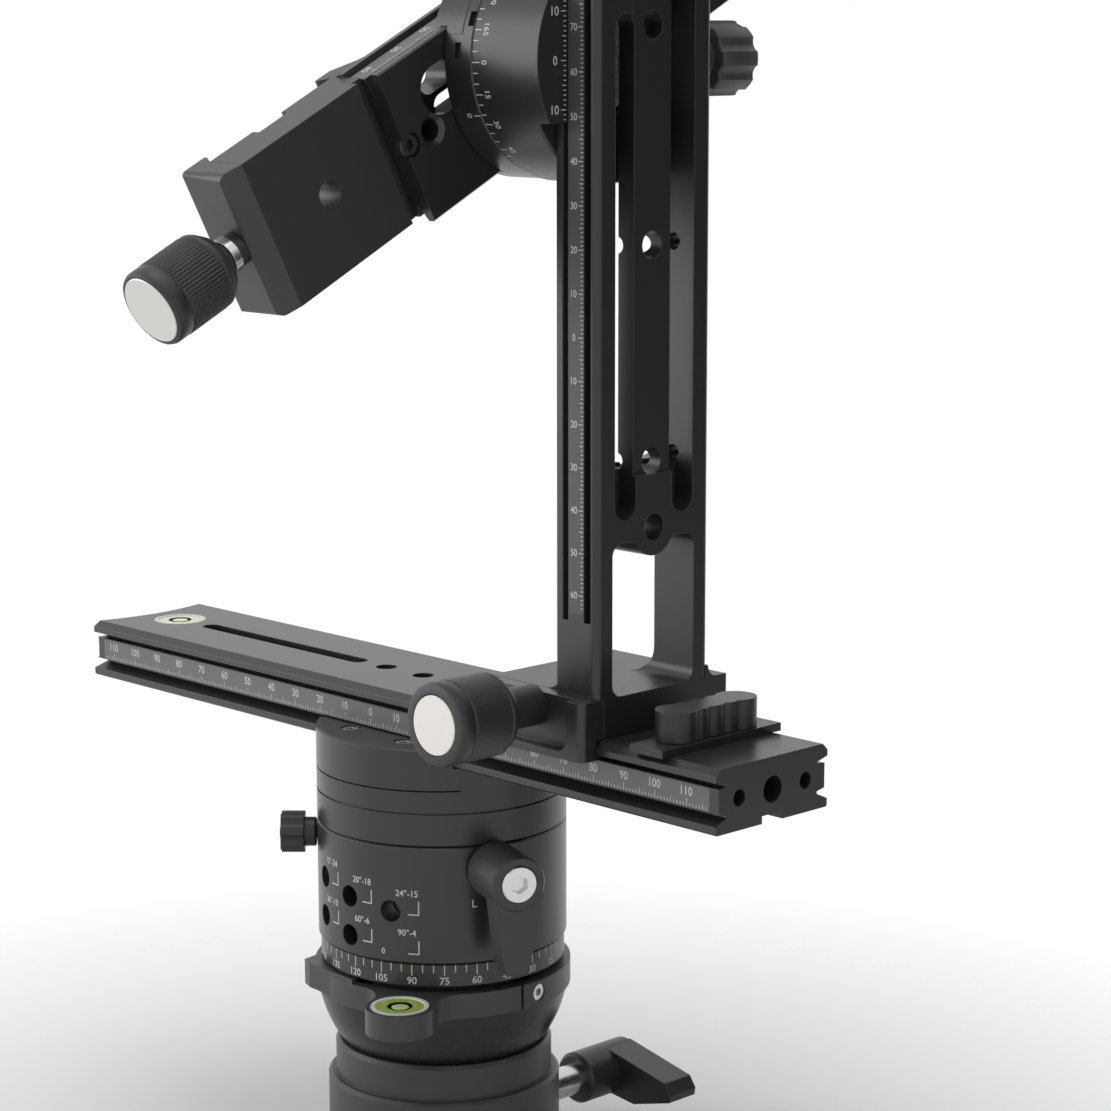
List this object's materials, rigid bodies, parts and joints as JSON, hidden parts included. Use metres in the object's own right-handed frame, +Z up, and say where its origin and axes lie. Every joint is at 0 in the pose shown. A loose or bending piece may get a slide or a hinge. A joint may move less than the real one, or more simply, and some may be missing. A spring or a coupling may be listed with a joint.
{
  "type": "panoramic tripod head",
  "caption": "Panoramic tripod head: levelling base, indexing rotator, scaled dovetail rail, upright and a tilting arm that ends in a camera clamp.",
  "frame": {"origin": "middle of the base's underside, at the mouth of the tripod socket", "axes": "+Z up along the pan axis, +X along the rail towards the upright, -Y the side with the scales"},
  "size_m": [0.238, 0.2027, 0.3516],
  "materials": {
    "black": "black anodised, satin",
    "steel": "turned, bright",
    "strip": "anodised grey with a pale printed scale",
    "brass": "turned",
    "rubber": "moulded, matt",
    "white": "moulded, matt",
    "silver": "satin",
    "liquid": "clear with green fluid"
  },
  "bodies": {
    "base": {"base_shell": "black", "tripod_bush": "brass"},
    "base_lock": {"lock_shaft": "steel", "base_lever": "rubber"},
    "draw": {"draw_bolt": "steel"},
    "washer": {"clamp_washer": "brass"},
    "level": {"level_ball": "black", "ball_plate": "steel", "centre_stud": "steel", "platform_ring": "black", "ring_screw": "steel", "ear_bubble_case": "white", "ear_bubble_glass": "liquid", "scale_plate": "black", "detent_drum": "steel", "spindle_bolt": "steel"},
    "index": {"index_body": "black", "index_plunger": "steel"},
    "pan_lever": {"lock_lever": "black", "lever_cap_screw": "steel"},
    "drag_knob": {"drag_knob": "black"},
    "pan_rotor": {"pan_rotor": "black", "rotor_jaw": "black", "rotor_jaw_screws": "steel"},
    "rail": {"rail": "black", "rail_scale": "strip", "rail_bubble_case": "white", "rail_bubble_glass": "liquid", "stop_plate": "black"},
    "stop_knob": {"stop_knob": "black"},
    "carriage": {"upright_bracket": "black", "upright_scale": "strip", "foot_guide_pins": "steel"},
    "foot_jaw": {"foot_jaw": "black"},
    "foot_knob": {"foot_screw": "steel", "foot_knob": "black", "foot_knob_cap": "silver"},
    "height_clamp": {"tilt_body": "black"},
    "tilt_jaw": {"tilt_jaw": "black"},
    "tilt_knob": {"tilt_screw": "steel", "tilt_knob": "rubber"},
    "tilt_hub": {"tilt_hub": "black", "hub_jaw": "black", "hub_jaw_screws": "steel", "hub_retainer": "steel"},
    "arm": {"arm_rail": "black", "arm_scale": "strip", "camera_clamp": "black", "clamp_bolt": "steel", "camera_guide_pins": "steel"},
    "camera_jaw": {"camera_jaw": "black"},
    "camera_knob": {"camera_screw": "steel", "camera_knob": "black", "camera_knob_cap": "silver"}
  },
  "joints": [
    {"name": "base_lever_turn", "type": "hinge", "parent": "base", "child": "base_lock", "pos_m": [0, 0.03, 0.016], "axis": [0, 1, 0], "range_deg": [-100, 0]},
    {"name": "draw_bolt_pull", "type": "slide", "parent": "base", "child": "draw", "axis": [0, 0, 1], "range_m": [-0.0005, 0]},
    {"name": "level_about_rail", "type": "hinge", "parent": "base", "child": "washer", "pos_m": [0, 0, 0.0606], "axis": [1, 0, 0], "range_deg": [-9, 9]},
    {"name": "level_across_rail", "type": "hinge", "parent": "washer", "child": "level", "pos_m": [0, 0, 0.0606], "axis": [0, 1, 0], "range_deg": [-9, 9]},
    {"name": "index_turn", "type": "hinge", "parent": "level", "child": "index", "pos_m": [0, 0, 0.08], "axis": [0, 0, 1], "continuous": true},
    {"name": "pan_lever_turn", "type": "hinge", "parent": "index", "child": "pan_lever", "pos_m": [0.03782, -0.01302, 0.0935], "axis": [0.9455, -0.3256, 0], "range_deg": [-60, 60]},
    {"name": "drag_knob_turn", "type": "hinge", "parent": "index", "child": "drag_knob", "pos_m": [-0.0257, -0.02662, 0.095], "axis": [-0.6947, -0.7193, 0], "range_deg": [-180, 180]},
    {"name": "pan_turn", "type": "hinge", "parent": "index", "child": "pan_rotor", "pos_m": [0, 0, 0.11], "axis": [0, 0, 1], "continuous": true},
    {"name": "rail_slide", "type": "slide", "parent": "pan_rotor", "child": "rail", "axis": [1, 0, 0], "range_m": [-0.08, 0.08]},
    {"name": "stop_knob_turn", "type": "hinge", "parent": "rail", "child": "stop_knob", "pos_m": [0.0926, 0, 0.138], "axis": [0, 0, 1], "range_deg": [-180, 180]},
    {"name": "upright_slide", "type": "slide", "parent": "rail", "child": "carriage", "axis": [1, 0, 0], "range_m": [-0.15, 0.0118]},
    {"name": "foot_jaw_open", "type": "slide", "parent": "carriage", "child": "foot_jaw", "axis": [0, -1, 0], "range_m": [0, 0.002]},
    {"name": "foot_knob_turn", "type": "hinge", "parent": "foot_jaw", "child": "foot_knob", "pos_m": [0.056, -0.04, 0.14107], "axis": [0, -1, 0], "range_deg": [0, 480]},
    {"name": "height_slide", "type": "slide", "parent": "carriage", "child": "height_clamp", "axis": [0, 0, -1], "range_m": [-0.024, 0.11]},
    {"name": "tilt_jaw_open", "type": "slide", "parent": "height_clamp", "child": "tilt_jaw", "axis": [0, 1, 0], "range_m": [0, 0.0015]},
    {"name": "tilt_knob_turn", "type": "hinge", "parent": "tilt_jaw", "child": "tilt_knob", "pos_m": [0.0579, 0.03, 0.2913], "axis": [0, 1, 0], "range_deg": [0, 432]},
    {"name": "tilt_turn", "type": "hinge", "parent": "height_clamp", "child": "tilt_hub", "pos_m": [0.05, 0, 0.2913], "axis": [1, 0, 0], "continuous": true},
    {"name": "arm_slide", "type": "slide", "parent": "tilt_hub", "child": "arm", "axis": [0, -0.891, -0.454], "range_m": [-0.02, 0.075]},
    {"name": "camera_jaw_open", "type": "slide", "parent": "arm", "child": "camera_jaw", "axis": [0, -0.891, -0.454], "range_m": [0, 0.003]},
    {"name": "camera_knob_turn", "type": "hinge", "parent": "camera_jaw", "child": "camera_knob", "pos_m": [0.0234, -0.0891, 0.2459], "axis": [0, -0.891, -0.454], "range_deg": [0, 720]}
  ],
  "couplings": [
    {"joint": "base_lever_turn", "follows": "draw_bolt_pull", "rad_per_m": 3490.6},
    {"joint": "foot_knob_turn", "follows": "foot_jaw_open", "rad_per_m": 4188.7},
    {"joint": "tilt_knob_turn", "follows": "tilt_jaw_open", "rad_per_m": 5026.5},
    {"joint": "camera_knob_turn", "follows": "camera_jaw_open", "rad_per_m": 4188.7}
  ]
}
